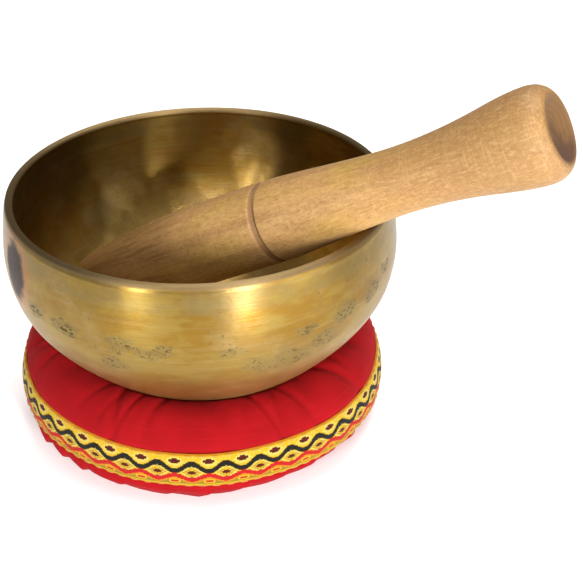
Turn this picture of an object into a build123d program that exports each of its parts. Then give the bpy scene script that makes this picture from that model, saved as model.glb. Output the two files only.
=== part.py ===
from build123d import *
import os
from math import cos, radians, sin, sqrt

# A small bronze bowl standing on a round gathered cushion, with its turned
# wooden mallet leaning across the rim. Millimetres, +Z up. The origin is the
# centre of the cushion's flat underside, and -Y is the front.

# Bowl
RIM_RADIUS = 63.0            # outside of the lip
BELLY_RADIUS = 65.4          # widest part, below the in-turned lip
RIM_HEIGHT = 86.0            # top of the lip above the table
BELLY_HEIGHT = 67.0
BASE_HEIGHT = 18.2           # underside of the bowl above the table
LIP_THICKNESS = 2.5
BASE_THICKNESS = 3.2
LIP_ROUND = 0.9
BOWL_OFFSET_X = 1.6          # the bowl stands slightly off the cushion's centre

# Mallet
MALLET_LENGTH = 184.2        # playing tip to the edge of the dished handle end
MALLET_RADIUS = 13.5         # playing end
NECK_RADIUS = 10.1
FLARE_RADIUS = 14.0
DISH_RADIUS = 9.7
DISH_DEPTH = 3.2
GROOVE_WIDTH = 2.6
GROOVE_DEPTH = 0.9
GROOVE_FROM_END = 96.4       # these four are measured back from the handle end
NECK_FROM_END = 49.4
FLARE_FROM_END = 6.9
TAPER_FROM_END = 24.4
MALLET_LEAN = 29.2           # degrees up from level, towards the handle
MALLET_HEADING = -28.5       # degrees from +X, towards the front
HANDLE_END = (99.3, -59.0, 128.5)

# Cushion
CUSHION_RADIUS = 64.0
CROWN_RADIUS = 50.0          # circle along the top of the side roll
CROWN_HEIGHT = 32.0
WIDEST_HEIGHT = 15.5
TUFT_RADIUS = 6.0            # gathered centre of the top cloth
TUFT_HEIGHT = 13.6
TUFT_CENTRE_HEIGHT = 12.0
CLOTH = 0.6
FILLING_GAP = 0.1
SEAT_GAP = 0.3               # between the bowl and the cushion
SEAT_STATIONS = (0, 0.12, 0.24, 0.36, 0.48, 0.6)  # along the bowl's outline
SEAM_HEIGHT = 17.5           # where top and base cloth meet, under the ribbon

# Ribbon and sewing
RIBBON_BOTTOM = 11.7
RIBBON_TOP = 23.5
RIBBON_THICKNESS = 0.6
RIBBON_GAP = 0.08
JOIN_GAP = 0.3               # between the ribbon's two ends, at the back
STITCHES_PER_ROW = 90
STITCH_LENGTH = 2.6
THREAD = 0.3
THREAD_GAP = 0.05
ROW_INSET = 0.7              # a stitch row's distance from the ribbon's edge
JOIN_STITCHES = 4


def bowl_outline():
    """Outside of the bowl in the XZ plane, from the foot's centre to the lip."""
    return Spline(
        (0, BASE_HEIGHT),
        (22.0, 19.8),
        (41.0, 28.2),
        (53.5, 40.0),
        (62.3, 52.5),
        (BELLY_RADIUS, BELLY_HEIGHT),
        (RIM_RADIUS, RIM_HEIGHT),
        tangents=((1, 0), (-0.18, 1)),
    )


def beside_outline(station, distance):
    """A point beside the bowl's outline; a positive distance is inside the bowl."""
    outline = bowl_outline()
    point = outline @ station
    along = (outline % station).normalized()
    return (point.X - along.Y * distance, point.Y + along.X * distance)


def in_xz(face):
    return Plane.XZ * face


def turned(face):
    """Revolve a face drawn as radius across and height up."""
    return revolve(in_xz(face), Axis.Z)


def bowl():
    outside = bowl_outline()
    stations = [0.0, 0.16, 0.32, 0.48, 0.64, 0.8]
    inner_points = []
    for station in stations:
        wall = BASE_THICKNESS + (LIP_THICKNESS - BASE_THICKNESS) * station
        inner_points.append(beside_outline(station, wall))
    inner_lip = (RIM_RADIUS - LIP_THICKNESS, RIM_HEIGHT)
    inside = Spline(*inner_points, inner_lip, tangents=((1, 0), (-0.18, 1)))
    lip = Line(inner_lip, (RIM_RADIUS, RIM_HEIGHT))
    centre = Line((0, BASE_HEIGHT), inner_points[0])
    shell = turned(make_face([outside, lip, inside, centre]))
    lip_edges = shell.edges().group_by(Axis.Z)[-1]
    return fillet(lip_edges, LIP_ROUND).moved(Location((BOWL_OFFSET_X, 0, 0)))


def mallet_outline():
    """Outside of the mallet: radius across, distance from the tip up."""
    groove = MALLET_LENGTH - GROOVE_FROM_END
    groove_handle_side = groove + 0.3 * GROOVE_WIDTH
    groove_tip_side = groove - 0.7 * GROOVE_WIDTH
    flare = MALLET_LENGTH - FLARE_FROM_END
    nose = Spline(
        (0, 0),
        (6.4, 2.4),
        (9.4, 9.0),
        tangents=((1, 0), (0.2, 1)),
    )
    playing_end = Spline(
        (9.4, 9.0),
        (11.8, 28.5),
        (MALLET_RADIUS, 56.0),
        tangents=((0.2, 1), (0, 1)),
    )
    straight = Line((MALLET_RADIUS, 56.0), (13.3, groove_tip_side))
    groove_walls = Polyline(
        (13.3, groove_tip_side),
        (13.2 - GROOVE_DEPTH, groove),
        (13.2, groove_handle_side),
    )
    handle = Spline(
        (13.2, groove_handle_side),
        (12.2, groove + 15),
        (NECK_RADIUS, MALLET_LENGTH - NECK_FROM_END),
        (11.9, MALLET_LENGTH - TAPER_FROM_END),
        (FLARE_RADIUS, flare),
        tangents=((-0.06, 1), (0, 1)),
    )
    end_round = Spline(
        (FLARE_RADIUS, flare),
        (12.6, MALLET_LENGTH - 1.8),
        (DISH_RADIUS, MALLET_LENGTH),
        tangents=((0, 1), (-1, 0)),
    )
    dish_bottom = MALLET_LENGTH - DISH_DEPTH
    ball_radius = (DISH_RADIUS**2 + DISH_DEPTH**2) / (2 * DISH_DEPTH)
    half_way = DISH_RADIUS / 2
    half_way_rise = ball_radius - sqrt(ball_radius**2 - half_way**2)
    dish = ThreePointArc(
        (DISH_RADIUS, MALLET_LENGTH),
        (half_way, dish_bottom + half_way_rise),
        (0, dish_bottom),
    )
    axis = Line((0, dish_bottom), (0, 0))
    side = [nose, playing_end, straight, groove_walls, handle]
    return make_face(side + [end_round, dish, axis])


def mallet():
    lean = radians(MALLET_LEAN)
    heading = radians(MALLET_HEADING)
    direction = Vector(cos(lean) * cos(heading), cos(lean) * sin(heading), sin(lean))
    tip = Vector(HANDLE_END) - direction * MALLET_LENGTH
    return Plane(origin=tip, z_dir=direction) * turned(mallet_outline())


def bowl_envelope(distance):
    """The space that the lower bowl fills, grown by a distance."""
    points = [beside_outline(station, -distance) for station in SEAT_STATIONS]
    end_tangent = bowl_outline() % SEAT_STATIONS[-1]
    side = Spline(*points, tangents=((1, 0), (end_tangent.X, end_tangent.Y)))
    top = points[-1][1]
    lid = Line(points[-1], (0, top))
    centre = Line((0, top), points[0])
    return turned(make_face([side, lid, centre])).moved(Location((BOWL_OFFSET_X, 0, 0)))


def cushion_solid(inset):
    """The whole cushion, drawn in by inset all over and pressed down by the bowl."""
    widest = (CUSHION_RADIUS - CROWN_RADIUS) - inset
    roll_centre = (CROWN_RADIUS, WIDEST_HEIGHT)
    below = WIDEST_HEIGHT - inset
    above = CROWN_HEIGHT - WIDEST_HEIGHT - inset
    lower = EllipticalCenterArc(roll_centre, widest, below, start_angle=270, arc_size=90)
    upper = EllipticalCenterArc(roll_centre, widest, above, start_angle=0, arc_size=90)
    middle = Spline(
        (CROWN_RADIUS, CROWN_HEIGHT - inset),
        (36.0, 27.5 - inset),
        (20.0, 20.5 - inset),
        (TUFT_RADIUS, TUFT_HEIGHT - inset),
        (0, TUFT_CENTRE_HEIGHT - inset),
        tangents=((-1, 0), (-1, 0)),
    )
    centre = Line((0, TUFT_CENTRE_HEIGHT - inset), (0, inset))
    base = Line((0, inset), (CROWN_RADIUS, inset))
    pad = turned(make_face([base, lower, upper, middle, centre]))
    return pad - bowl_envelope(SEAT_GAP + inset)


def ring(inner_radius, outer_radius, bottom, top):
    height = top - bottom
    middle = Location((0, 0, (top + bottom) / 2))
    tube = Cylinder(outer_radius, height) - Cylinder(inner_radius, height)
    return middle * tube


def base_cloth_zone():
    """The space that holds the base cloth, and none of the top cloth."""
    under = Location((0, 0, 2)) * Cylinder(58, 6)
    side = ring(57, 80, -1, SEAM_HEIGHT)
    return under + side


def cover():
    return cushion_solid(0) - cushion_solid(CLOTH)


def side_radius(height, proud):
    """Radius of the cushion's side at a height, with something proud of it."""
    if height < WIDEST_HEIGHT:
        half = WIDEST_HEIGHT + proud
    else:
        half = CROWN_HEIGHT - WIDEST_HEIGHT + proud
    across = CUSHION_RADIUS - CROWN_RADIUS + proud
    return CROWN_RADIUS + across * sqrt(1 - ((height - WIDEST_HEIGHT) / half) ** 2)


def ribbon():
    inside = cushion_solid(-RIBBON_GAP)
    outside = cushion_solid(-RIBBON_GAP - RIBBON_THICKNESS)
    band = (outside - inside) & ring(56, 80, RIBBON_BOTTOM, RIBBON_TOP)
    join = Location((0, CUSHION_RADIUS, WIDEST_HEIGHT)) * Box(JOIN_GAP, 20, 30)
    return band - join


def stitch():
    return Box(STITCH_LENGTH, THREAD, THREAD)


def stitch_row(height):
    """A ring of sewn stitches on the ribbon, at one height."""
    proud = RIBBON_GAP + RIBBON_THICKNESS + THREAD_GAP + THREAD
    radius = side_radius(height, proud)
    stitches = []
    for index in range(STITCHES_PER_ROW):
        angle = 360 * (index + 0.5) / STITCHES_PER_ROW
        place = Rotation(0, 0, angle) * Location((0, radius, height))
        stitches.append(place * stitch())
    return Compound(children=stitches)


def join_stitches():
    """Short stitches across the ribbon's join at the back."""
    proud = RIBBON_GAP + RIBBON_THICKNESS + THREAD_GAP + THREAD
    pitch = (RIBBON_TOP - RIBBON_BOTTOM) / (JOIN_STITCHES + 2)
    stitches = []
    for index in range(JOIN_STITCHES):
        height = RIBBON_BOTTOM + pitch * (index + 1.5)
        radius = side_radius(height, proud)
        stitches.append(Location((0, radius, height)) * stitch())
    return Compound(children=stitches)


def gathering_thread():
    """The drawn thread that closes the top cloth at its centre, with its knot."""
    height = TUFT_HEIGHT + 0.8
    loop_radius = TUFT_RADIUS - 1.5
    loop = Location((0, 0, height)) * Torus(loop_radius, THREAD)
    knot_radius = 2 * THREAD
    knot_place = THREAD + THREAD_GAP + knot_radius - loop_radius
    knot = Location((0, knot_place, height)) * Sphere(knot_radius)
    return Compound(children=[loop, knot])


def parts():
    whole_cover = cover()
    zone = base_cloth_zone()
    return {
        "bowl": bowl(),
        "mallet": mallet(),
        "cushion_top_cloth": whole_cover - zone,
        "cushion_base_cloth": whole_cover & zone,
        "cushion_filling": cushion_solid(CLOTH + FILLING_GAP),
        "woven_ribbon": ribbon(),
        "ribbon_upper_stitches": stitch_row(RIBBON_TOP - ROW_INSET),
        "ribbon_lower_stitches": stitch_row(RIBBON_BOTTOM + ROW_INSET),
        "ribbon_join_stitches": join_stitches(),
        "gathering_thread": gathering_thread(),
    }


os.makedirs("parts", exist_ok=True)
for node, shape in parts().items():
    export_step(shape, f"parts/{node}.step")
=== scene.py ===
"""A bronze singing bowl on a gathered red cushion, with its turned wooden mallet.

Everything is in metres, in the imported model's frame: +Z up, the table at z = 0
and the cushion's axis at x = y = 0. Shapes are written in millimetres.
"""

import math
import random

import bmesh
import bpy
import numpy as np
from mathutils import Matrix, Vector, noise


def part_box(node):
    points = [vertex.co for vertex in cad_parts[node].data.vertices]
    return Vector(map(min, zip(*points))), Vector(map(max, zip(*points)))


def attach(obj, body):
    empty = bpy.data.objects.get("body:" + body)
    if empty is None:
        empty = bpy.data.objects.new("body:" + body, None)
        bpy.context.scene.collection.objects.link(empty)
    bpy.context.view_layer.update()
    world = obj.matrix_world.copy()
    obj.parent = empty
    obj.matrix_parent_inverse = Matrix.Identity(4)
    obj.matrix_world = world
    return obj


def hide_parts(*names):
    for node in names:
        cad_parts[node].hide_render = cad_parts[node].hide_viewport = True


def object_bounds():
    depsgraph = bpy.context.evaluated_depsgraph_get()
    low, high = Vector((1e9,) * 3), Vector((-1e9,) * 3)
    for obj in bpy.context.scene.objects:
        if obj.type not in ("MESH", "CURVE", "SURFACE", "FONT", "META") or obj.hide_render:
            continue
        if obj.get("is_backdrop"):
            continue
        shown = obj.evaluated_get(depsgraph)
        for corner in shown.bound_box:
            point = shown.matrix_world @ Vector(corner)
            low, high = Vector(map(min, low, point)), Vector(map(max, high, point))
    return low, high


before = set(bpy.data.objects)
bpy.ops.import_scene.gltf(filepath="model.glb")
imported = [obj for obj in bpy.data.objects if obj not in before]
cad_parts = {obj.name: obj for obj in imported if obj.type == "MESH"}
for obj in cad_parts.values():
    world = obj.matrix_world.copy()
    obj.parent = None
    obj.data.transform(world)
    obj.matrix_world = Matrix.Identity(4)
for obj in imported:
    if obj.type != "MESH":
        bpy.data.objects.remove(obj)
cad_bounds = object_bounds()

MM = 0.001
TAU = 2 * math.pi

# ---- dimensions
# Bowl, in millimetres from its axis and from the table.
RIM_RADIUS = 63.0
RIM_HEIGHT = 86.0
LIP_THICKNESS = 2.5
BASE_THICKNESS = 3.2
BOWL_OUTLINE = [
    (0, 18.2),
    (22.0, 19.8),
    (41.0, 28.2),
    (53.5, 40.0),
    (62.3, 52.5),
    (65.4, 67.0),
    (RIM_RADIUS, RIM_HEIGHT),
]
BELLY = max(radius for radius, _ in BOWL_OUTLINE)
BOWL_COLUMNS = 392
BOWL_AXIS = ((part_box("bowl")[0][0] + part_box("bowl")[1][0]) / 2 / MM, 0.0)

# Mallet, in millimetres from its axis and from its tip.
MALLET_LENGTH = 184.2
GROOVE = MALLET_LENGTH - 96.4
GROOVE_DEPTH = 0.9
DISH_RADIUS = 9.7
DISH_DEPTH = 3.2
MALLET_LEAN = math.radians(29.2)
MALLET_HEADING = math.radians(-28.5)
HANDLE_END = Vector((99.3, -59.0, 128.5))
MALLET_COLUMNS = 176

# Cushion, in millimetres from its axis and from the table.
CUSHION_RADIUS = 64.0
CROWN_RADIUS = 50.0
CROWN_HEIGHT = 32.0
WIDEST_HEIGHT = 15.5
TUFT_RADIUS = 6.0
TUFT_HEIGHT = 13.6
TUFT_CENTRE_HEIGHT = 12.0
SEAT_GAP = 0.3
SEAT_RADIUS = 62  # the bowl presses the cushion within this, from the bowl's axis
CLOTH_THICKNESS = 0.45
SEAM_HEIGHT = 17.5  # where the two cloths meet, under the ribbon
WADDING_COLUMNS = 160
WADDING_INSET = 2.6
RIBBON_BOTTOM = 11.6
RIBBON_TOP = 23.9
RIBBON_THICKNESS = 0.6
RIBBON_GAP = 0.08
RIBBON_EASE = 0.22  # room for the unevenness of the cloth under it
RIBBON_REPEATS = 37
STITCHES_PER_ROW = 90
ROW_INSET = 0.7


# ---- curves
def spline(points, count, start, end):
    """A smooth curve through points, as count evenly spaced points.

    start and end are its directions at its two ends.
    """
    points = np.array(points, float)
    steps = np.hypot(*np.diff(points, axis=0).T)
    knots = np.concatenate([[0], np.cumsum(steps)])
    size = len(points)
    matrix = np.zeros((size, size))
    right = np.zeros((size, 2))
    for i in range(1, size - 1):
        before, after = steps[i - 1], steps[i]
        matrix[i, i - 1 : i + 2] = after, 2 * (before + after), before
        slope_before = (points[i] - points[i - 1]) / before
        slope_after = (points[i + 1] - points[i]) / after
        right[i] = 3 * (after * slope_before + before * slope_after)
    for row, tangent in ((0, start), (-1, end)):
        matrix[row, row] = 1
        right[row] = np.array(tangent) / np.hypot(*tangent)
    slopes = np.linalg.solve(matrix, right)
    fine = np.linspace(0, knots[-1], count * 8)
    span = np.clip(np.searchsorted(knots, fine, "right") - 1, 0, size - 2)
    width = steps[span][:, None]
    t = ((fine - knots[span])[:, None]) / width
    curve = (
        (2 * t**3 - 3 * t**2 + 1) * points[span]
        + (t**3 - 2 * t**2 + t) * width * slopes[span]
        + (3 * t**2 - 2 * t**3) * points[span + 1]
        + (t**3 - t**2) * width * slopes[span + 1]
    )
    return evenly(curve, count)


def evenly(curve, count):
    """The same curve as count evenly spaced points."""
    curve = np.array(curve, float)
    along = np.concatenate([[0], np.cumsum(np.hypot(*np.diff(curve, axis=0).T))])
    places = np.linspace(0, along[-1], count)
    return np.column_stack([np.interp(places, along, curve[:, k]) for k in (0, 1)])


def normals(curve):
    """The left-hand normals of a curve."""
    tangent = np.gradient(curve, axis=0)
    tangent /= np.hypot(*tangent.T)[:, None]
    return np.column_stack([-tangent[:, 1], tangent[:, 0]])


def smoothstep(low, high, value):
    """0 up to low, 1 from high, and smooth between."""
    t = np.clip((value - low) / (high - low), 0, 1)
    return t * t * (3 - 2 * t)


# ---- meshes
def new_object(name, points, faces, smooth=True):
    mesh = bpy.data.meshes.new(name)
    mesh.from_pydata([tuple(p) for p in points], [], faces)
    mesh.update()
    if smooth:
        mesh.shade_smooth()
    return new_thing(name, mesh)


def new_thing(name, data):
    thing = bpy.data.objects.new(name, data)
    bpy.context.collection.objects.link(thing)
    return thing


def grid_faces(rows, columns):
    """Quads between rows of a closed ring of columns points."""
    faces = []
    for row in range(rows - 1):
        here = row * columns
        above = here + columns
        for column in range(columns):
            side = (column + 1) % columns
            faces.append((here + column, here + side, above + side, above + column))
    return faces


def store(piece, name, values):
    """Keep a vector for each point, for the material to read."""
    kept = piece.data.attributes.new(name, "FLOAT_VECTOR", "POINT")
    kept.data.foreach_set("vector", np.asarray(values, np.float32).ravel())


def skin(name, grid, along, first=None, last=None):
    """A surface through a grid of points: its rows are closed rings.

    first and last are points that close the ends. The piece keeps each point's
    place, its angle and its distance along the profile for the material.
    """
    rows, columns = grid.shape[:2]
    faces = grid_faces(rows, columns)
    points = [grid.reshape(-1, 3)]
    distance = [np.repeat(along[:rows], columns)]
    count = rows * columns
    for end, start, turn in ((first, 0, -1), (last, (rows - 1) * columns, 1)):
        if end is None:
            continue
        for column in range(columns):
            pair = (start + column, start + (column + 1) % columns)
            faces.append((count,) + pair[::turn])
        points.append(np.array([end], float))
        distance.append([along[0] if start == 0 else along[-1]])
        count += 1
    points = np.vstack(points)
    piece = new_object(name, points * MM, faces)
    around = np.arctan2(points[:, 1], points[:, 0])
    distance = np.concatenate(distance) * MM
    store(piece, "local", points * MM)
    store(piece, "turned", np.column_stack([np.cos(around), np.sin(around), distance]))
    return piece


def distances(profile):
    """How far along the profile each of its points is."""
    steps = np.hypot(*np.diff(profile, axis=0).T)
    return np.concatenate([[0], np.cumsum(steps)])


def around_z(radius, height, angles):
    """Points at a radius and height, turned round +Z."""
    x, y = radius * np.cos(angles), radius * np.sin(angles)
    return np.stack([x, y, height + 0 * x], axis=-1)


def turned_grid(profile, columns, shape):
    """The profile turned round +Z, moved along its normals by shape's offsets."""
    angles = np.linspace(0, TAU, columns, endpoint=False)
    offset = shape(angles, profile)[..., None]
    moved = profile[:, None] - offset * normals(profile)[:, None]
    return around_z(moved[..., 0], moved[..., 1], angles)


def turned_places(angles, profile, stretch):
    """Where the profile's points come round +Z, with their heights stretched."""
    return around_z(profile[:, :1], stretch * profile[:, 1:], angles)


def lathe(name, profile, columns, shape):
    """Turn a profile of (radius, height) points whose ends lie on the axis."""
    grid = turned_grid(profile, columns, shape)[1:-1]
    first, last = ((0, 0, profile[end][1]) for end in (0, -1))
    return skin(name, grid, distances(profile)[1:], first, last)


def place_mesh(piece, matrix):
    """Move a piece's mesh, in metres, and leave its object at the origin."""
    piece.data.transform(matrix)
    piece.data.update()


def ripple(points, size, seed):
    """Smooth noise from -1 to 1 at points in millimetres, with lumps of that size."""
    shift = Vector((seed * 17.3, seed * 5.9, seed * 31.7))
    scaled = points / size
    values = [noise.noise(Vector(place) + shift) for place in scaled.reshape(-1, 3)]
    return np.array(values).reshape(scaled.shape[:-1])


# ---- the bowl
def outer_profile(count):
    return spline(BOWL_OUTLINE, count, start=(1, 0), end=(-0.18, 1))


def wall_height(radius):
    """Height of the bowl's outside above the table at a radius from its axis."""
    curve = outer_profile(200)
    below_belly = curve[: np.argmax(curve[:, 0])]
    return np.interp(radius, below_belly[:, 0], below_belly[:, 1])


def bowl_profile():
    """(radius, height) from the foot's centre, over the lip, to the inside's centre."""
    outside = outer_profile(126)
    inward = normals(outside)
    inner_points = []
    for station in (0.0, 0.16, 0.32, 0.48, 0.64, 0.8):
        place = round(station * (len(outside) - 1))
        wall = BASE_THICKNESS + (LIP_THICKNESS - BASE_THICKNESS) * station
        inner_points.append(outside[place] + inward[place] * wall)
    inner_points.append((RIM_RADIUS - LIP_THICKNESS, RIM_HEIGHT))
    inside = spline(inner_points, 112, start=(1, 0), end=(-0.18, 1))
    half = LIP_THICKNESS / 2
    centre = (RIM_RADIUS - half, RIM_HEIGHT - half)
    turn = np.linspace(0, math.pi, 15)
    across = np.sign(np.cos(turn)) * np.abs(np.cos(turn)) ** 0.75
    up = np.sin(turn) ** 0.75
    lip = np.column_stack([centre[0] + half * across, centre[1] + half * up])
    outside = outside[outside[:, 1] < centre[1] - 0.3]
    inside = inside[inside[:, 1] < centre[1] - 0.3][::-1]
    return np.vstack([outside, lip, inside])


def inside_of(profile):
    """1 for the profile's points inside the bowl, 0 outside."""
    top = np.argmax(profile[:, 1])
    return (np.arange(len(profile)) > top).astype(float)


def hammered(angles, body):
    """Shallow unevenness left by hammering and turning, deeper inside than outside."""
    inside = inside_of(body)[:, None]
    place = turned_places(angles, body, 0.7)
    broad = ripple(place, 26, 1)
    dents = ripple(place + 400 * inside[..., None], 10, 2)
    blows = ripple(place, 5.5, 21)
    near_lip = smoothstep(2.0, 9.0, RIM_HEIGHT - body[:, 1:])
    outside_depth = 0.20 * broad + 0.07 * dents
    inside_depth = 0.36 * broad + 0.42 * dents + 0.07 * blows
    return near_lip * np.where(inside > 0.5, inside_depth, outside_depth) + 0.03 * broad


# The pitted patches outside: degrees round from +X, height, and reach. The first
# fourteen are on the front; the others, round the back, are invented.
PIT_SPREAD = 1.25
PIT_PATCHES = [
    (-142, 66, 3.4), (-131, 65, 3.6), (-116, 57, 3.2), (-113, 65, 3.6), (-106, 63, 3.6),
    (-101, 65, 2.6), (-84, 64, 2.8), (-77, 57, 3.6), (-68, 57, 4.4), (-63, 66, 2.6),
    (-57, 60, 4.2), (-50, 66, 3.6), (-38, 67, 3.8), (-30, 71, 2.6),
    (-12, 63, 2.6), (3, 58, 3.4), (14, 64, 4.2), (25, 60, 2.4), (41, 66, 3.0),
    (58, 57, 3.6), (66, 62, 4.4), (74, 59, 2.6), (96, 65, 2.2), (111, 61, 3.2),
    (120, 65, 4.0), (131, 58, 3.0), (152, 63, 2.6),
    (161, 57, 4.0), (172, 60, 2.8), (190, 66, 3.2),
]
TARNISH = (-154, 73, 17.0)  # how far it goes on round the side is a guess


def patch(points, ragged, angle, height, reach, stretch=1.7, uneven_edge=0.55):
    """1 at a patch's middle, falling to 0 at its reach, with a ragged edge."""
    turn = math.radians(angle)
    middle = np.array([math.cos(turn), math.sin(turn)])
    around = np.arctan2(
        middle[0] * points[:, 1] - middle[1] * points[:, 0], points[:, :2] @ middle
    )
    distance = np.hypot(around * BELLY / stretch, points[:, 2] - height)
    distance = distance / (1 + uneven_edge * ragged)
    return 1 - smoothstep(0.1 * reach, 1.15 * reach, distance)


def make_bowl():
    """The bowl, with its inside faces in a second slot, which dress() undoes."""
    profile = bowl_profile()
    piece = lathe("singing_bowl", profile, BOWL_COLUMNS, hammered)
    points = np.array([v.co for v in piece.data.vertices]) / MM
    inside = np.repeat(inside_of(profile[1:-1]), BOWL_COLUMNS)
    inside = np.concatenate([inside, [0, 1]])
    place = points * (1, 1, 1.6)
    ragged = ripple(place, 3.6, 14) + 0.6 * ripple(place, 1.6, 15)
    pits = np.zeros(len(points))
    for angle, height, reach in PIT_PATCHES:
        here = patch(points, ragged, angle, height, PIT_SPREAD * reach)
        pits = np.maximum(pits, here)
    tarnish = patch(points, ragged, *TARNISH, stretch=0.75, uneven_edge=0.12)
    outside = 1 - inside
    store(piece, "wear", np.column_stack([pits * outside, tarnish * outside, inside]))
    first_corner = [face.vertices[0] for face in piece.data.polygons]
    second_slot = (inside[first_corner] > 0.5).astype(np.int32)
    piece.data.polygons.foreach_set("material_index", second_slot)
    place_mesh(piece, Matrix.Translation((BOWL_AXIS[0] * MM, 0, 0)))
    return piece


# ---- the mallet
def mallet_profile():
    """(radius, distance from the tip), out to the dished handle end."""
    tip_side, handle_side = GROOVE - 1.82, GROOVE + 0.78
    rounded = [(0, 0), (6.4, 2.4), (9.4, 9.0), (11.8, 28.5), (13.5, 56.0)]
    playing = spline(rounded, 90, start=(1, 0), end=(0, 1))
    straight = evenly([(13.5, 56.0), (13.3, tip_side - 0.4)], 34)[1:]
    cut = [
        (13.28, tip_side - 0.12),
        (13.2, tip_side + 0.1),
        (13.25 - 0.55 * GROOVE_DEPTH, GROOVE - 0.75),
        (13.2 - 0.93 * GROOVE_DEPTH, GROOVE - 0.12),
        (13.2 - GROOVE_DEPTH, GROOVE),
        (13.2 - 0.93 * GROOVE_DEPTH, GROOVE + 0.08),
        (13.0, handle_side - 0.16),
        (13.17, handle_side),
        (13.2, handle_side + 0.3),
    ]
    flare = MALLET_LENGTH - 6.9
    neck = [(13.2, handle_side + 0.7), (12.2, GROOVE + 15)]
    neck += [(10.1, MALLET_LENGTH - 49.4), (11.9, MALLET_LENGTH - 24.4), (14.0, flare)]
    handle = spline(neck, 120, start=(-0.06, 1), end=(0, 1))
    end_round = [(14.0, flare), (12.6, MALLET_LENGTH - 1.8)]
    end_round += [(DISH_RADIUS, MALLET_LENGTH)]
    end_round = spline(end_round, 18, start=(0, 1), end=(-1, 0.05))[1:]
    ball = (DISH_RADIUS**2 + DISH_DEPTH**2) / (2 * DISH_DEPTH)
    radius = np.linspace(DISH_RADIUS - 0.35, 0, 22)
    bottom = MALLET_LENGTH - DISH_DEPTH
    depth = bottom + ball - np.sqrt(ball**2 - radius**2)
    dish = np.column_stack([radius, depth])
    return np.vstack([playing, straight, cut, handle, end_round, dish])


def mallet_place():
    """The turn and shift that lay the mallet across the bowl."""
    level = math.cos(MALLET_LEAN)
    direction = Vector((
        level * math.cos(MALLET_HEADING),
        level * math.sin(MALLET_HEADING),
        math.sin(MALLET_LEAN),
    ))
    turn = direction.to_track_quat("Z", "Y").to_matrix().to_4x4()
    tip = HANDLE_END - direction * MALLET_LENGTH
    return Matrix.Translation(tip * MM) @ turn


def turned_wood(angles, body):
    """Faint turning rings, and a little wear where the mallet strikes."""
    along = body[:, 1:]
    rings = 0.012 * np.sin(along * 5.1) + 0.01 * np.sin(along * 2.3 + 1)
    uneven = ripple(turned_places(angles, body, 0.5), 8, 5)
    worn = 1 - smoothstep(20, 75, along)
    return rings + (0.03 + 0.07 * worn) * uneven


def make_mallet():
    piece = lathe("turned_mallet", mallet_profile(), MALLET_COLUMNS, turned_wood)
    place_mesh(piece, mallet_place())
    return piece


# ---- the cushion
COVER_COLUMNS = 576
SEAT_SLACK = SEAT_GAP + 0.1
CUSHION_TILT = -0.022  # the side roll is a little higher at -X


def cover_profile():
    """(radius, height) from the underside's centre, up the side, to the tuft."""
    under = evenly([(0, 0), (49, 0)], 18)[:-1]
    tuck = [(49, 0), (52.5, 0.8), (56.3, 3.2), (60.8, 7.8), (63.5, 11.9)]
    widest = (CUSHION_RADIUS, WIDEST_HEIGHT)
    lower = spline(tuck + [widest], 46, start=(1, 0), end=(0, 1))[:-1]
    turn = np.linspace(0, math.pi / 2, 36)
    across, up = CUSHION_RADIUS - CROWN_RADIUS, CROWN_HEIGHT - WIDEST_HEIGHT
    roll = np.column_stack(
        [CROWN_RADIUS + across * np.cos(turn), WIDEST_HEIGHT + up * np.sin(turn)]
    )
    hollow = [
        (CROWN_RADIUS, CROWN_HEIGHT),
        (36.0, 27.5),
        (20.0, 20.5),
        (TUFT_RADIUS, TUFT_HEIGHT),
        (0, TUFT_CENTRE_HEIGHT),
    ]
    middle = spline(hollow, 52, start=(-1, 0), end=(-1, 0))[1:]
    return np.vstack([under, lower, roll, middle])


COVER_PROFILE = cover_profile()


def uneven(angles, count, seed):
    """Angles counted in folds, with the folds bunched and spread unevenly."""
    chance = random.Random(seed)
    drift = np.zeros_like(angles)
    for wave in range(1, 9):
        size = chance.uniform(0.15, 0.5) / wave**0.5
        drift = drift + size * np.sin(wave * angles + chance.uniform(0, TAU))
    return count * angles / TAU + drift


def valleys(places, sharpness):
    """0 on the crest between two folds and 1 at a fold's bottom."""
    return (0.5 + 0.5 * np.cos(TAU * places)) ** sharpness


def fold_depths(places, seed, least=0.35):
    """A depth for each fold, blended so that it changes smoothly between them."""
    chance = random.Random(seed)
    depths = np.array([chance.uniform(least, 1) for _ in range(400)])
    low = np.floor(places).astype(int)
    part = places - low
    part = part * part * (3 - 2 * part)
    count = round(float(places.max() - places.min()))
    return depths[low % count] * (1 - part) + depths[(low + 1) % count] * part


def gathers(angles, profile):
    """Folds of the top cloth, drawn in at the tuft and fading towards the side."""
    radius, height = profile[:, :1], profile[:, 1:]
    on_top = smoothstep(16.0, 25.0, height) + (radius < CROWN_RADIUS) * (height > 8)
    slant = 0.0035 * (radius - 46)
    total = np.zeros((len(profile), len(angles)))
    for count, depth, reach, sharpness, seed in (
        (88, 0.75, (15, 30), 1.2, 3),
        (44, 1.0, (26, 57), 2.2, 4),
        (27, 1.2, (42, 68), 5.0, 5),
        (17, 1.3, (48, 74), 9.0, 6),
    ):
        bend = slant * (1 if seed % 2 else -1.6)
        places = uneven(angles + bend, count, seed)
        here = 1 - smoothstep(*reach, radius)
        outside = smoothstep(reach[1] - 6, reach[1], radius)
        deep = fold_depths(places, seed)
        total -= depth * here * (1 - outside) * deep * valleys(places, sharpness)
    return np.clip(on_top, 0, 1) * total


HEM_FRONT = math.radians(-112)  # where the hem hangs out furthest


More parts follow.
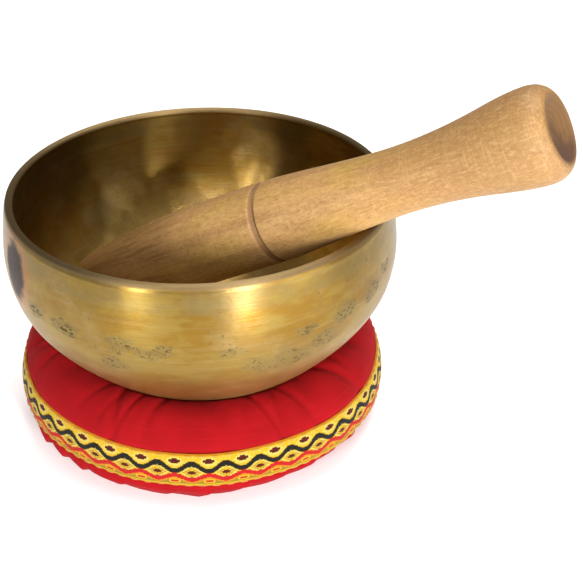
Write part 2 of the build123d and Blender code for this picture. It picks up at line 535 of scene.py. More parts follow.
def hem_pleats(angles, profile):
    """Pressed pleats of the base cloth, just below the ribbon."""
    radius, height = profile[:, :1], profile[:, 1:]
    lean = 0.012 * (RIBBON_BOTTOM - height)
    places = uneven(angles + lean, 29, 11)
    part = places - np.floor(places)
    edge = np.where(part < 0.9, part / 0.9, (1 - part) / 0.1) ** 0.8
    deep = fold_depths(places, 11, 0.25)
    below = (1 - smoothstep(9.4, 12.6, height)) * (height < WIDEST_HEIGHT)
    reach = smoothstep(45, 58, radius)
    to_front = (angles - HEM_FRONT + math.pi) % TAU - math.pi
    fuller = 1.3 * np.exp(-((to_front / 0.55) ** 2))
    return below * reach * (1.9 * deep * edge + 0.1 + fuller)


def cover_shape(angles, profile):
    """The cover's billows, folds and pleats, pressed in under the ribbon."""
    radius, height = profile[:, :1], profile[:, 1:]
    place = turned_places(angles, profile, 1.3)
    soft, small = ripple(place, 24, 8), ripple(place, 7, 9)
    off_table = smoothstep(50, 60, radius) * (height < WIDEST_HEIGHT)
    loose = np.clip(off_table + smoothstep(14, 26, height), 0, 1)
    under_ribbon = smoothstep(RIBBON_BOTTOM - 1.2, RIBBON_BOTTOM + 0.6, height)
    released = smoothstep(RIBBON_TOP - 1.0, RIBBON_TOP + 0.6, height)
    under_ribbon = under_ribbon * (1 - released) * (radius > CROWN_RADIUS)
    bulge = 0.35 * released * (1 - smoothstep(RIBBON_TOP + 1, RIBBON_TOP + 7, height))
    pressed = 0.62 * under_ribbon - bulge * (radius > CROWN_RADIUS)
    billow = (0.5 * soft + 0.10 * small) * loose * (1 - 0.75 * under_ribbon)
    return billow - pressed + gathers(angles, profile) + hem_pleats(angles, profile)


def press(points, gap):
    """Points lowered to stay a gap below the bowl, where it stands on them."""
    from_bowl = np.hypot(points[..., 0] - BOWL_AXIS[0], points[..., 1])
    slope = (wall_height(from_bowl + 0.2) - wall_height(from_bowl - 0.2)) / 0.4
    ceiling = wall_height(from_bowl) - gap * np.sqrt(1 + slope**2)
    lowered = np.minimum(points[..., 2], ceiling)
    return np.where(from_bowl < SEAT_RADIUS, lowered, points[..., 2])


def seat(points):
    """Tilt the cushion, press it down under the bowl, and keep it off the table."""
    points = points.copy()
    points[..., 2] += CUSHION_TILT * points[..., 0] * smoothstep(0, 12, points[..., 2])
    on_top = points[..., 2] > WIDEST_HEIGHT - 8
    height = np.where(on_top, press(points, SEAT_SLACK), points[..., 2])
    points[..., 2] = np.maximum(height, 0)
    return points


def make_cover():
    """The top and base cloths, which meet under the ribbon."""
    profile = COVER_PROFILE
    grid = seat(turned_grid(profile, COVER_COLUMNS, cover_shape))
    along = distances(profile)
    seam = int(np.argmax(profile[:, 1] > SEAM_HEIGHT))
    base_grid, top_grid = grid[1 : seam + 1], grid[seam:-1]
    base = skin("cushion_base", base_grid, along[1:], first=grid[0, 0])
    top = skin("cushion_top", top_grid, along[seam:], last=grid[-1, 0])
    for cloth in (base, top):
        thicken(cloth, CLOTH_THICKNESS)
    return top, base


def thicken(piece, thickness):
    """Give a single surface a thickness in millimetres, inwards."""
    solid = piece.modifiers.new("thickness", "SOLIDIFY")
    solid.thickness = thickness * MM
    solid.offset = -1
    solid.use_rim = True
    depsgraph = bpy.context.evaluated_depsgraph_get()
    finished = bpy.data.meshes.new_from_object(piece.evaluated_get(depsgraph))
    piece.modifiers.clear()
    piece.data = finished


def make_filling():
    """The stuffing, a little smaller than its cover."""
    profile = COVER_PROFILE
    inset = np.clip(profile[:, 0] / 20, 0, 1)[:, None] * WADDING_INSET
    shrunk = profile + normals(profile) * inset
    shrunk[:, 0] = np.maximum(shrunk[:, 0], 0)
    low, high = 1.8, shrunk[:, 1] - 1.2 * (profile[:, 1] > TUFT_CENTRE_HEIGHT - 1)
    shrunk[:, 1] = np.maximum(high, low)
    body = evenly(shrunk, 74)

    def lumpy(angles, outline):
        return 0.5 * ripple(turned_places(angles, outline, 1), 6, 21) - 0.3

    grid = turned_grid(body, WADDING_COLUMNS, lumpy)
    grid[..., 2] = press(grid, WADDING_INSET)
    first, last = grid[0, 0], grid[-1, 0]
    return skin("cushion_wadding", grid[1:-1], distances(body)[1:], first, last)


# ---- the ribbon and its sewing
RIBBON_WIDTH = RIBBON_TOP - RIBBON_BOTTOM
RIBBON_LAP = 7.0
RIBBON_COLUMNS = 900
JOIN_ANGLE = math.pi / 2
JOIN_STITCHES = 4
LAP_RISE = RIBBON_THICKNESS * 1.25
THREAD = 0.17
THREAD_SIDES = 8


def cover_side(height):
    """Radius of the cushion's side at a height, without its folds."""
    side = COVER_PROFILE[COVER_PROFILE[:, 0] > CROWN_RADIUS + 1]
    return np.interp(height, side[:, 1], side[:, 0])


def ribbon_surface(angles, across, proud):
    """Points proud of the ribbon's front face, by angle and by share of its width."""
    wander = 0.16 * np.sin(5 * angles + 1) + 0.1 * np.sin(11 * angles + 2.2)
    height = RIBBON_BOTTOM + RIBBON_WIDTH * across
    edge = np.abs(2 * across - 1) ** 4
    lift = 0.10 * np.sin(7 * angles + 0.5) + 0.07 * np.sin(17 * angles + 3)
    radius = cover_side(height) + RIBBON_GAP + RIBBON_EASE + lift * edge
    slope = (cover_side(height + 0.3) - cover_side(height - 0.3)) / 0.6
    level = 1 / np.sqrt(1 + slope**2)
    radius = radius + proud * level
    height = height + wander - proud * level * slope
    points = around_z(radius, height, angles)
    points[..., 2] += CUSHION_TILT * points[..., 0]
    return points


def make_ribbon():
    """A woven band round the cushion, whose end laps over its start at the back."""
    lap = RIBBON_LAP / CUSHION_RADIUS
    turn = np.linspace(0, TAU + lap, RIBBON_COLUMNS)
    angles = JOIN_ANGLE + turn
    over = LAP_RISE * smoothstep(TAU - 0.05, TAU, turn)
    tucked = -0.25 * (1 - smoothstep(0, 0.05, turn))
    steps = np.linspace(0, 1, 15)
    across = np.concatenate([steps, steps[::-1]])
    back = np.concatenate([0 * steps, 0 * steps + 1])
    rounded = np.sqrt(np.clip(1 - np.abs(2 * across - 1) ** 14, 0.06, 1))
    depth = RIBBON_THICKNESS / 2 * (1 - (1 - 2 * back) * rounded)
    grid = np.array([
        ribbon_surface(angle + 0 * across, across, raised - depth)
        for angle, raised in zip(angles, over + tucked)
    ])
    size = len(across)
    faces = grid_faces(len(grid), size)
    last = (len(grid) - 1) * size
    faces.append(tuple(reversed(range(size))))
    faces.append(tuple(last + index for index in range(size)))
    piece = new_object("woven_ribbon_band", grid.reshape(-1, 3) * MM, faces)
    along = np.repeat(turn / TAU * RIBBON_REPEATS, size)
    band = [along, np.tile(across, len(grid)), np.tile(back, len(grid))]
    store(piece, "band", np.column_stack(band))
    turn_outwards(piece)
    return piece


def turn_outwards(piece):
    """Make every face of a closed piece face outwards."""
    kept = bmesh.new()
    kept.from_mesh(piece.data)
    bmesh.ops.recalc_face_normals(kept, faces=kept.faces)
    kept.to_mesh(piece.data)
    kept.free()
    piece.data.shade_smooth()


def tube(path, radius, closed):
    """Points and faces of a thread along a path, with rounded ends."""
    path = np.array(path, float)
    if not closed:
        first, second = path[0] - path[1], path[-1] - path[-2]
        first *= radius / np.linalg.norm(first)
        second *= radius / np.linalg.norm(second)
        path = np.vstack([path[0] + first, path[0] + first * 0.6, path])
        path = np.vstack([path, path[-1] + second * 0.6, path[-1] + second])
    count = len(path)
    tangent = np.gradient(path, axis=0)
    if closed:
        tangent = np.roll(path, -1, axis=0) - np.roll(path, 1, axis=0)
    tangent /= np.linalg.norm(tangent, axis=1)[:, None]
    helper = np.array([0.0, 0.0, 1.0])
    if np.abs(tangent @ helper).max() > 0.95:
        helper = np.array([0.31, 0.87, 0.38])
    side = np.cross(tangent, helper)
    side /= np.linalg.norm(side, axis=1)[:, None]
    up = np.cross(side, tangent)
    widths = np.full(count, radius)
    if not closed:
        widths[[0, -1]] = radius * 0.12
        widths[[1, -2]] = radius * 0.8
    turn = np.linspace(0, TAU, THREAD_SIDES, endpoint=False)[:, None]
    ring = np.cos(turn) * side[:, None] + np.sin(turn) * up[:, None]
    points = (path[:, None] + ring * widths[:, None, None]).reshape(-1, 3)
    faces = grid_faces(count, THREAD_SIDES)
    last = (count - 1) * THREAD_SIDES
    if closed:
        for column in range(THREAD_SIDES):
            beside = (column + 1) % THREAD_SIDES
            faces.append((last + column, last + beside, beside, column))
    else:
        faces.append(tuple(reversed(range(THREAD_SIDES))))
        faces.append(tuple(last + index for index in range(THREAD_SIDES)))
    return points, faces


def threads(name, paths, radius, closed=()):
    """One piece made of several threads."""
    points, faces, shift = [], [], 0
    for number, path in enumerate(paths):
        more, sides = tube(path, radius, closed=number in closed)
        points.append(more)
        faces += [tuple(corner + shift for corner in face) for face in sides]
        shift += len(more)
    points = np.vstack(points)
    piece = new_object(name, points * MM, faces)
    store(piece, "local", points * MM)
    turn_outwards(piece)
    return piece


def make_row(name, across, seed):
    """A row of machine stitches along the ribbon."""
    chance = random.Random(seed)
    share = np.linspace(-0.5, 0.5, 7)
    rise = THREAD * (1 - (2 * share) ** 4) - 0.05
    paths = []
    for index in range(STITCHES_PER_ROW):
        middle = JOIN_ANGLE + 0.03 + (TAU - 0.06) * (index + 0.5) / STITCHES_PER_ROW
        length = chance.uniform(2.2, 2.5) / CUSHION_RADIUS
        place = across + chance.uniform(-0.006, 0.006)
        angles = middle + share * length
        paths.append(ribbon_surface(angles, place + 0 * angles, rise))
    return threads(name, paths, THREAD)


def make_join():
    """Hand stitches over the lap at the back."""
    paths = []
    lap = RIBBON_LAP / CUSHION_RADIUS
    share = np.linspace(-0.5, 0.5, 9)
    for index in range(JOIN_STITCHES):
        across = (index + 1.4) / (JOIN_STITCHES + 1.8)
        angles = JOIN_ANGLE + lap + share * 0.042
        step = LAP_RISE * (1 - smoothstep(-0.12, 0.16, share))
        rise = 0.12 + step + 0.25 * (1 - (2 * share) ** 2)
        paths.append(ribbon_surface(angles, across + share * 0.05, rise))
    return threads("ribbon_join_sewing", paths, THREAD)


def make_gathering_thread():
    """The drawn thread at the tuft: two uneven turns, a knot and two short ends."""
    turn = np.linspace(0, TAU, 96, endpoint=False)
    height = TUFT_HEIGHT + 0.9
    paths = []
    for shift, radius in ((0.0, 4.3), (2.0, 4.75)):
        wave = np.sin(13 * turn + shift)
        away = radius + 0.16 * wave
        rise = height + 0.22 * np.cos(13 * turn + shift) + 0.1 * shift
        paths.append(around_z(away, rise, turn))
    knot = 0.75
    spin = np.linspace(0, TAU, 60, endpoint=False)
    x = knot * (np.sin(spin) + 2 * np.sin(2 * spin)) / 3
    y = knot * (np.cos(spin) - 2 * np.cos(2 * spin)) / 3
    z = -knot * np.sin(3 * spin) / 2
    paths.append(np.column_stack([x, y - 4.5, z + height + 0.75]))
    for side in (-1, 1):
        step = np.linspace(0, 1, 12)[:, None]
        start = np.array([0.2 * side, -4.9, height + 0.8])
        reach = np.array([2.2 * side, -2.6, -0.1])
        bow = np.array([0, 0, 0.9]) * np.sin(step * math.pi)
        paths.append(start + reach * step + bow)
    return threads("tuft_thread", paths, 0.24, closed=(0, 1, 2))


# ---- materials
def operator(operation):
    return lambda self, other: self.shader.math(operation, self, other)


class Number:
    """A socket of a material's node tree that can be written into sums."""

    def __init__(self, shader, socket):
        self.shader, self.socket = shader, socket

    __add__ = __radd__ = operator("ADD")
    __sub__ = operator("SUBTRACT")
    __mul__ = operator("MULTIPLY")
    __truediv__ = operator("DIVIDE")
    __lt__ = operator("LESS_THAN")
    __gt__ = operator("GREATER_THAN")

    def __rsub__(self, other):
        return self.shader.math("SUBTRACT", other, self)

    def __abs__(self):
        return self.shader.math("ABSOLUTE", self)


class Shader:
    """One material, whose nodes are made by calls."""

    def __init__(self, name, settings):
        self.material = bpy.data.materials.new(name)
        self.material.use_nodes = True
        self.tree = self.material.node_tree
        self.surface = self.tree.nodes["Principled BSDF"]
        for socket, value in settings.items():
            self.surface.inputs[socket].default_value = value

    def add(self, kind, inputs=None, output=0, **settings):
        node = self.tree.nodes.new("ShaderNode" + kind)
        for key, value in settings.items():
            setattr(node, key, value)
        for key, value in (inputs or {}).items():
            self.put(node.inputs[key], value)
        return Number(self, node.outputs[output])

    def put(self, socket, value):
        if isinstance(value, Number):
            self.tree.links.new(value.socket, socket)
        elif socket.type == "RGBA":
            socket.default_value = (*value, 1)
        else:
            socket.default_value = value

    def set(self, socket, value):
        self.put(self.surface.inputs[socket], value)

    def math(self, operation, *values):
        return self.add("Math", dict(enumerate(values)), operation=operation)

    def vector(self, name):
        """A vector kept on the mesh."""
        return self.add("Attribute", output=1, attribute_name=name)

    def parts(self, name):
        """The three numbers of a vector kept on the mesh."""
        split = self.tree.nodes.new("ShaderNodeSeparateXYZ")
        self.put(split.inputs[0], self.vector(name))
        return [Number(self, output) for output in split.outputs]

    def join(self, x, y, z):
        return self.add("CombineXYZ", {0: x, 1: y, 2: z})

    def noise(self, place, scale, detail=2.0, roughness=0.5, distortion=0.0):
        """Noise from 0 to 1; scale is (x, y, z) lumps per metre, or one number."""
        if not isinstance(scale, tuple):
            scale = (scale, scale, scale)
        place = self.add("VectorMath", {0: place, 1: scale}, operation="MULTIPLY")
        inputs = {"Vector": place, "Scale": 1.0, "Detail": detail}
        inputs |= {"Roughness": roughness, "Distortion": distortion}
        return self.add("TexNoise", inputs)

    def step(self, value, low, high):
        """0 below low, 1 above high, and smooth between; low may be above high."""
        inputs = {"Value": value, "From Min": low, "From Max": high}
        if low > high:
            inputs |= {"From Min": high, "From Max": low}
            inputs |= {"To Min": 1.0, "To Max": 0.0}
        return self.add("MapRange", inputs, interpolation_type="SMOOTHSTEP")

    def mix(self, share, first, second):
        """The first colour where share is 0, the second where it is 1."""
        inputs = {0: share, 6: first, 7: second}
        return self.add("Mix", inputs, output=2, data_type="RGBA")

    def layered(self, colour, layers):
        """The colour under layers: value, its low and high, strength and colour."""
        for value, low, high, strength, shade in layers:
            colour = self.mix(self.step(value, low, high) * strength, colour, shade)
        return colour

    def scale_colour(self, colour, factor):
        """The colour with all its parts multiplied by the factor."""
        grey = self.add("CombineColor", {0: factor, 1: factor, 2: factor})
        inputs = {0: 1.0, 6: colour, 7: grey}
        return self.add("Mix", inputs, 2, data_type="RGBA", blend_type="MULTIPLY")

    def bump(self, height, distance):
        """Make the surface rough: height from 0 to 1 is distance metres."""
        inputs = {"Height": height, "Distance": distance, "Strength": 1.0}
        self.set("Normal", self.add("Bump", inputs))


WORN_LIP = (0.0842, 0.0853)  # the heights between which the lip's wear comes in


def brushed_metal(name, anisotropy):
    """A metal brushed round +Z."""
    settings = {"Metallic": 1.0, "Anisotropic": anisotropy}
    m = Shader(name, settings | {"Anisotropic Rotation": 0.25})
    m.set("Tangent", m.add("Tangent", direction_type="RADIAL", axis="Z"))
    return m


def bronze_outside():
    """Brushed and hammered metal, with pits, smudges and a patch of tarnish."""
    m = brushed_metal("brushed_bronze", 0.8)
    place = m.vector("local")
    across, along, distance = m.parts("turned")
    pits, tarnish, _ = m.parts("wear")
    _, _, height = m.parts("local")
    ring = m.join(across * 0.065, along * 0.065, distance)
    lines = m.noise(ring, (55, 55, 2600), 3)
    bands = m.noise(ring, (16, 16, 420), 3)
    smeared = m.join(across * 0.03, along * 0.03, distance)
    drift = m.noise(smeared, (115, 115, 130), 5, 0.62)
    clouds = m.noise(place, 42, 4, 0.6)
    small = m.noise(place, 190, 4, 0.65)
    gold, warm = (0.31, 0.204, 0.046), (0.275, 0.152, 0.024)
    pale = (0.42, 0.325, 0.145)
    brown, dull = (0.25, 0.145, 0.045), (0.235, 0.182, 0.072)
    colour = m.mix(m.step(drift, 0.42, 0.58), gold, warm)
    colour = m.layered(colour, [
        (bands, 0.5, 0.72, 0.22, pale),
        (clouds * 0.6 + drift * 0.4, 0.50, 0.66, 0.6, pale),
        (lines, 0.48, 0.30, 0.5, brown),
    ])
    # Painted reflection of the pale floor: paler, in patches, below the belly.
    low = m.step(height, 0.064, 0.040) * m.step(clouds, 0.28, 0.6)
    colour = m.mix(low * 0.6, colour, (0.47, 0.305, 0.105))
    # The foot is tinted red, to imitate the reflection of the cloth under it.
    foot = m.step(height + clouds * 0.010, 0.037, 0.026)
    colour = m.mix(foot * 0.75, colour, (0.235, 0.085, 0.020))
    # Dull, greenish metal in a broken band below the lip, and around the pits.
    under_lip = m.step(height, 0.0760, 0.0790) * m.step(height, 0.0848, 0.082)
    under_lip = under_lip * m.step(small * 0.4 + drift * 0.6, 0.40, 0.58)
    colour = m.mix(under_lip * 0.6, colour, dull)
    smudge = m.step(pits + small * 0.9 + drift * 0.4 - 0.55, 0.25, 0.75)
    colour = m.mix(smudge * 0.5, colour, dull)
    blotches = m.step(small * 0.5 + clouds * 0.5, 0.47, 0.62)
    colour = m.mix(blotches * 0.45, colour, (0.245, 0.150, 0.045))
    # Pits: short dark marks that follow the turning.
    scratch = m.noise(ring, (420, 420, 900), 3, 0.65, 1.6)
    inked = m.step(scratch, 0.55, 0.60)
    inked = inked * m.step(pits + small * 1.9 - 1.05, 0.25, 0.7)
    specks = m.step(m.noise(place, 620, 1), 0.735, 0.77) * m.step(clouds, 0.4, 0.6)
    colour = m.mix(inked * 0.72 + specks * 0.5, colour, (0.085, 0.055, 0.022))
    # The purple-grey tarnish at one side, with its orange edge.
    stain = tarnish + (small - 0.5) * 0.5 + (clouds - 0.5) * 0.5
    colour = m.layered(colour, [
        (stain, 0.08, 0.34, 0.65, (0.38, 0.155, 0.035)),
        (stain, 0.36, 0.72, 0.88, (0.078, 0.064, 0.066)),
    ])
    worn_lip = m.step(height, *WORN_LIP)
    colour = m.mix(worn_lip * 0.8, colour, (0.24, 0.168, 0.086))
    m.set("Base Color", colour)
    rough = 0.29 + drift * 0.10 + inked * 0.25 + smudge * 0.05 + worn_lip * 0.25
    m.set("Roughness", rough + m.step(stain, 0.4, 0.7) * 0.2)
    relief = lines * 0.4 + bands * 0.15 + small * 0.45 - inked * 0.9
    m.bump(relief, 0.00012)
    return m.material


def bronze_inside():
    """Hammered metal, brighter and more broken up than the outside. Not shown."""
    m = brushed_metal("hammered_bronze", 0.85)
    place = m.vector("local")
    across, along, distance = m.parts("turned")
    _, _, height = m.parts("local")
    ring = m.join(across * 0.06, along * 0.06, distance)
    lines = m.noise(ring, (60, 60, 1800), 3)
    smeared = m.join(across * 0.035, along * 0.035, distance)
    drift = m.noise(smeared, (100, 100, 110), 4, 0.6)
    clouds = m.noise(place, 45, 4, 0.6)
    small = m.noise(place, 210, 4, 0.65)
    gold, olive = (0.60, 0.455, 0.185), (0.40, 0.305, 0.125)
    brown = (0.235, 0.150, 0.055)
    colour = m.mix(m.step(clouds * 0.7 + small * 0.3, 0.44, 0.54), gold, olive)
    blotches = m.step(small * 0.35 + clouds * 0.4 + drift * 0.25, 0.45, 0.58)
    colour = m.mix(blotches * 0.85, colour, brown)
    colour = m.mix(m.step(lines, 0.45, 0.25) * 0.35, colour, brown)
    specks = m.step(m.noise(place, 560, 1), 0.72, 0.76)
    colour = m.mix(specks * 0.7, colour, (0.06, 0.035, 0.015))
    # Paler towards the lip, darker towards the bottom.
    paler_towards_lip = m.step(height + small * 0.02, 0.072, 0.090)
    colour = m.mix(paler_towards_lip * 0.75, colour, (0.74, 0.58, 0.26))
    worn_lip = m.step(height, *WORN_LIP)
    colour = m.mix(worn_lip * 0.8, colour, (0.25, 0.175, 0.088))
    m.set("Base Color", colour)
    m.set("Roughness", 0.21 + blotches * 0.10 + lines * 0.04 + worn_lip * 0.25)
    m.bump(lines * 0.2 + small * 0.4 + drift * 0.4, 0.00028)
    return m.material


def wood_material():
    """Turned beech: long grain, mottle and flecks; painted shade on the playing end and
    handle.
    """
    m = Shader("turned_beech", {"Specular IOR Level": 0.35})
    place = m.vector("local")
    x, y, height = m.parts("local")
    broad = m.noise(place, (110, 110, 9), 3, 0.55, 0.4)
    patches = m.noise(place, (60, 60, 28), 3)
    fine = m.noise(place, (900, 900, 26), 3, 0.6)
    mottle = m.noise(place, (1300, 1300, 520), 3, 0.7)
    flecks = m.noise(place, (1700, 1700, 260), 1, 0.5)
    chatter = m.noise(m.join(x * 0.12, y * 0.12, height), (900, 900, 2300), 2)
    streaks = m.noise(place, (330, 330, 7), 3, 0.6)
    light, tan = (0.47, 0.268, 0.096), (0.375, 0.196, 0.063)
    brown = (0.23, 0.110, 0.034)
    colour = m.mix(m.step(broad, 0.35, 0.68), light, tan)
    colour = m.layered(colour, [
        (patches, 0.45, 0.68, 0.65, (0.44, 0.275, 0.050)),
        # Painted shade: darker towards the handle's far end.
        (height, 0.105, 0.165, 0.8, (0.315, 0.168, 0.058)),
        (fine, 0.5, 0.75, 0.4, (0.33, 0.165, 0.052)),
        (mottle, 0.50, 0.66, 0.42, brown),
        (streaks, 0.50, 0.68, 0.42, (0.26, 0.125, 0.042)),
        (mottle, 0.48, 0.34, 0.30, (0.62, 0.39, 0.18)),
        (chatter, 0.54, 0.70, 0.22, (0.62, 0.38, 0.17)),
    ])
    dark = m.step(flecks, 0.62, 0.72)
    colour = m.mix(dark * 0.30, colour, brown)
    # Painted shade on the playing end, which lies in the bowl; a darker groove and dish.
    cloudy = m.noise(place, 60, 3)
    playing = m.step(height + cloudy * 0.03, 0.090, 0.056)
    grain = m.step(m.noise(place, (520, 520, 12), 3, 0.65), 0.48, 0.62)
    colour = m.mix(playing * (0.46 + grain * 0.34), colour, (0.16, 0.075, 0.018))
    # Painted shade, darker still at the tip.
    tip_shade = m.step(height + cloudy * 0.03, 0.060, 0.022)
    colour = m.mix(tip_shade * 0.62, colour, (0.13, 0.053, 0.010))
    groove = m.step(height, GROOVE * MM - 0.0020, GROOVE * MM - 0.0010)
    groove = groove * m.step(height, GROOVE * MM + 0.0010, GROOVE * MM + 0.0004)
    colour = m.mix(groove * 0.75, colour, (0.17, 0.075, 0.025))
    from_axis = m.math("SQRT", x * x + y * y)
    end = m.step(height, 0.1775, 0.1795) * m.step(from_axis, 0.0118, 0.0088)
    rings = m.math("SINE", from_axis * 4200 + broad * 9) * 0.5 + 0.5
    sawn = m.mix(rings * 0.5, (0.165, 0.082, 0.026), (0.12, 0.058, 0.020))
    sawn = m.mix(m.step(patches, 0.42, 0.58) * 0.75, sawn, (0.060, 0.028, 0.020))
    colour = m.mix(end, colour, sawn)
    m.set("Base Color", colour)
    m.set("Roughness", 0.50 + fine * 0.12 + dark * 0.1 + end * 0.1)
    m.bump(fine * 0.4 + chatter * 0.35 + mottle * 0.3 - dark * 0.4, 0.00010)
    return m.material


def cotton_material():
    """Plain red weave with slubs."""
    settings = {"Roughness": 0.82, "Sheen Weight": 0.04, "Sheen Roughness": 0.45}
    settings |= {"Sheen Tint": (1.0, 0.35, 0.30, 1.0), "Specular IOR Level": 0.1}
    m = Shader("red_cotton_weave", settings)
    place = m.vector("local")
    across, along, distance = m.parts("turned")
    angle = m.math("ARCTAN2", along, across)
    warp = m.math("SINE", angle * 1100)
    weft = m.math("SINE", distance * (TAU / 0.00037))
    weave = warp * weft
    slubs = m.noise(m.join(across * 0.06, along * 0.06, distance), (45, 45, 2600), 2)
    cloudy = m.noise(place, 70, 3)
    red, deep_red = (0.372, 0.0044, 0.0082), (0.318, 0.0036, 0.0066)
    colour = m.mix(m.step(cloudy, 0.35, 0.7), red, deep_red)
    colour = m.mix(m.step(slubs, 0.56, 0.72) * 0.2, colour, (0.50, 0.018, 0.02))
    # Painted shade: the weave's raised threads are lighter and its dips darker.
    m.set("Base Color", m.scale_colour(colour, 0.93 + weave * 0.07))
    m.bump(weave * 0.5 + slubs * 0.8, 0.00007)
    return m.material


def ribbon_material():
    """Waves in black and red, with lozenges and lenses, woven on a gold ground."""
    m = Shader("woven_ribbon_threads", {"Specular IOR Level": 0.15})
    along, across, back = m.parts("band")
    columns, rows = 32.0, 30.0
    u = m.math("ROUND", along * columns) / columns
    v = m.math("ROUND", across * rows) / rows
    wave = m.math("COSINE", u * TAU)
    to_eye = abs(m.math("FRACT", u) - 0.5)
    to_diamond = 0.5 - to_eye

    def near(value, centre, half):
        return abs(value - centre) < half

    def lozenge(dx, centre, width, height):
        return dx / width + abs(v - centre) / height < 1.0

    def lens(dx, centre, width, height):
        return dx * dx / width**2 + abs(v - centre) / height < 1.0

    grain = m.add("TexWhiteNoise", {0: m.join(u, v, 0.0)}, noise_dimensions="2D")
    gold, pale = (0.62, 0.375, 0.012), (0.64, 0.49, 0.095)
    black, red = (0.010, 0.009, 0.006), (0.46, 0.010, 0.009)
    maroon, orange = (0.08, 0.006, 0.005), (0.62, 0.24, 0.008)
    olive = (0.30, 0.19, 0.018)
    glint = grain > 0.86
    colour = m.mix(glint, gold, pale)
    layers = [
        (lens(to_eye, 0.80, 0.29, 0.125), pale),
        (lens(to_eye, 0.815, 0.215, 0.062), maroon),
        (v < 0.29 - wave * 0.075, olive),
        (lozenge(to_diamond, 0.495, 0.33, 0.215), pale),
        (lozenge(to_diamond, 0.495, 0.26, 0.155), olive),
        (lozenge(to_diamond, 0.495, 0.215, 0.125), gold),
        (lens(to_diamond, 0.495, 0.15, 0.062), maroon),
        (near(v, 0.64 + wave * 0.105, 0.078), black),
        (near(v, 0.335 - wave * 0.07, 0.072), red),
        (near(v, 0.245 - wave * 0.075, 0.024), orange),
        (lens(to_eye, 0.215, 0.20, 0.085), gold),
        (lens(to_eye, 0.22, 0.13, 0.045), red),
        (v < 0.14, gold),
        (near(v, 0.14, 0.018), olive),
        (v < 0.04, orange),
        (v > 0.945, orange),
    ]
    for share, shown in layers:
        colour = m.mix(share, colour, shown)
    colour = m.mix(back, colour, (0.50, 0.27, 0.05))
    warp = m.math("SINE", along * (TAU * columns))
    weft = m.math("SINE", across * (TAU * rows))
    threads_up = abs(warp) * 0.6 + abs(weft) * 0.4
    # Painted shade: the threads' crowns are lighter and the gaps between them darker.
    m.set("Base Color", m.scale_colour(colour, 0.78 + threads_up * 0.30))
    m.set("Roughness", 0.62 - glint * 0.22)
    m.bump(threads_up + grain * 0.2, 0.00011)
    return m.material


def thread_material(name, colour, shade):
    """A twisted thread; its two colours run into each other."""
    m = Shader(name, {"Roughness": 0.6, "Sheen Weight": 0.2})
    x, y, z = m.parts("local")
    twist = m.math("SINE", (x + y * 0.7 + z * 0.9) * 9000)
    cloudy = m.noise(m.vector("local"), 300, 2)
    m.set("Base Color", m.mix(cloudy * 0.6 + (twist * 0.2 + 0.2), colour, shade))
    m.bump(twist, 0.00004)
    return m.material


def wadding_material():
    m = Shader("cotton_wadding", {"Roughness": 0.95, "Sheen Weight": 0.3})
    tufts = m.noise(m.vector("local"), 240, 5, 0.7, 1.5)
    m.set("Base Color", m.mix(tufts, (0.88, 0.86, 0.80), (0.66, 0.62, 0.55)))
    m.bump(tufts, 0.0007)
    return m.material


def floor_material():
    settings = {"Roughness": 0.75, "Specular IOR Level": 0.15}
    settings |= {"Emission Color": (1.0, 1.0, 1.0, 1.0), "Emission Strength": 0.22}
    m = Shader("pale_floor", settings)
    speckle = m.noise(m.add("TexCoord", output=3), 30, 3)
    m.set("Base Color", m.mix(speckle, (0.93, 0.93, 0.925), (0.91, 0.91, 0.91)))
    return m.material


# ---- the assembly
def dress(piece, material, body, slot, *nodes):
    """Give a piece its material, its body and the nodes it replaces; slot is not used.

    A known fault: clearing the materials puts every face in the first slot, so the
    bowl's inside faces lose the second slot that make_bowl gives them.
    """
    piece.data.materials.clear()
    piece.data.materials.append(material)
    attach(piece, body)
    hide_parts(*nodes)


cotton = cotton_material()
yellow, dull_yellow = (0.60, 0.33, 0.03), (0.40, 0.22, 0.03)
yellow_thread = thread_material("yellow_sewing_thread", yellow, dull_yellow)
red, dull_red = (0.46, 0.010, 0.014), (0.30, 0.006, 0.01)
red_thread = thread_material("red_sewing_thread", red, dull_red)

bowl = make_bowl()
dress(bowl, bronze_outside(), "bowl", "bronze", "bowl")
bowl.data.materials.append(bronze_inside())  # no face shows it: see dress()
mallet = make_mallet()
dress(mallet, wood_material(), "mallet", "turned_wood", "mallet")

cushion_top, cushion_base = make_cover()
dress(cushion_top, cotton, "cushion", "red_cotton", "cushion_top_cloth")
dress(cushion_base, cotton, "cushion", "red_cotton", "cushion_base_cloth")
wadding = make_filling()
dress(wadding, wadding_material(), "cushion", "wadding", "cushion_filling")

ribbon = make_ribbon()
dress(ribbon, ribbon_material(), "cushion", "woven_ribbon", "woven_ribbon")
inset = ROW_INSET / RIBBON_WIDTH
for row, across, seed in (("upper", 1 - inset, 31), ("lower", inset, 32)):
    stitches = make_row(f"ribbon_{row}_sewing", across, seed)
    dress(stitches, yellow_thread, "cushion", "yellow_thread", f"ribbon_{row}_stitches")
join = make_join()
dress(join, yellow_thread, "cushion", "yellow_thread", "ribbon_join_stitches")
tuft_thread = make_gathering_thread()
dress(tuft_thread, red_thread, "cushion", "red_thread", "gathering_thread")


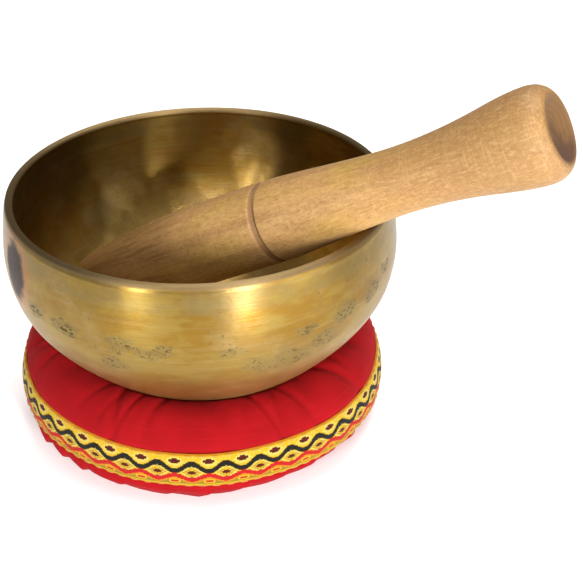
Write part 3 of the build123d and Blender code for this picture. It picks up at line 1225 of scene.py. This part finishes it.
# ---- floor, light and camera
def make_floor():
    half = 2.4
    corners = [(-half, -half, 0), (half, -half, 0), (half, half, 0), (-half, half, 0)]
    floor = new_object("studio_floor", corners, [(0, 1, 2, 3)], smooth=False)
    floor.data.materials.append(floor_material())
    floor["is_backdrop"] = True


def softbox(name, azimuth, elevation, distance, size, power):
    """A rectangular light that faces the bowl; angles in degrees."""
    light = bpy.data.lights.new(name, "AREA")
    light.shape = "RECTANGLE"
    light.size, light.size_y = size
    light.energy = power
    lamp = new_thing(name, light)
    turn, rise = math.radians(azimuth), math.radians(elevation)
    level = math.cos(rise)
    away = Vector((level * math.cos(turn), level * math.sin(turn), math.sin(rise)))
    target = Vector((BOWL_AXIS[0] * MM, 0, 0.07))
    lamp.location = target + away * distance
    lamp.rotation_euler = away.to_track_quat("Z", "Y").to_euler()


def make_world():
    world = bpy.data.worlds.new("studio")
    world.use_nodes = True
    background = world.node_tree.nodes["Background"]
    background.inputs["Color"].default_value = (1.0, 0.99, 0.97, 1)
    background.inputs["Strength"].default_value = 0.18
    bpy.context.scene.world = world


def make_camera():
    """A camera at the photograph's viewing angle."""
    data = bpy.data.cameras.new("view")
    data.lens = 68.3
    data.sensor_width = 36
    data.clip_start = 0.01
    camera = new_thing("view", data)
    camera.location = Vector((1.6, -324.1, 252.7)) * MM
    pitch, yaw = math.radians(90 - 32.84), math.radians(-5.24)
    camera.rotation_euler = (pitch, 0, yaw)
    bpy.context.scene.camera = camera


# Each light's name, azimuth, elevation, distance, (width, height) and power.
LIGHTS = [
    ("key", -102, 39, 1.1, (0.28, 0.28), 2.2),
    ("upper_left", -121, 61, 0.9, (0.05, 0.36), 0.8),
    ("upper_right", -76, 61, 0.9, (0.05, 0.36), 0.8),
    ("side", -42, 12, 1.0, (0.7, 0.36), 3.6),
    ("front_left", -125, 15, 0.9, (0.045, 0.24), 3.2),
    ("front_right", -70, 14, 0.9, (0.045, 0.22), 6.0),
    ("overhead", 60, 70, 1.2, (0.8, 0.8), 12.5),
]

make_floor()
make_world()
for light in LIGHTS:
    softbox(*light)
make_camera()
bpy.context.scene.view_settings.view_transform = "Standard"

visual_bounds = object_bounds()
sizes = {"cad": cad_bounds, "visual": visual_bounds}
sizes = {
    name: [[float(value) for value in corner] for corner in box]
    for name, box in sizes.items()
}
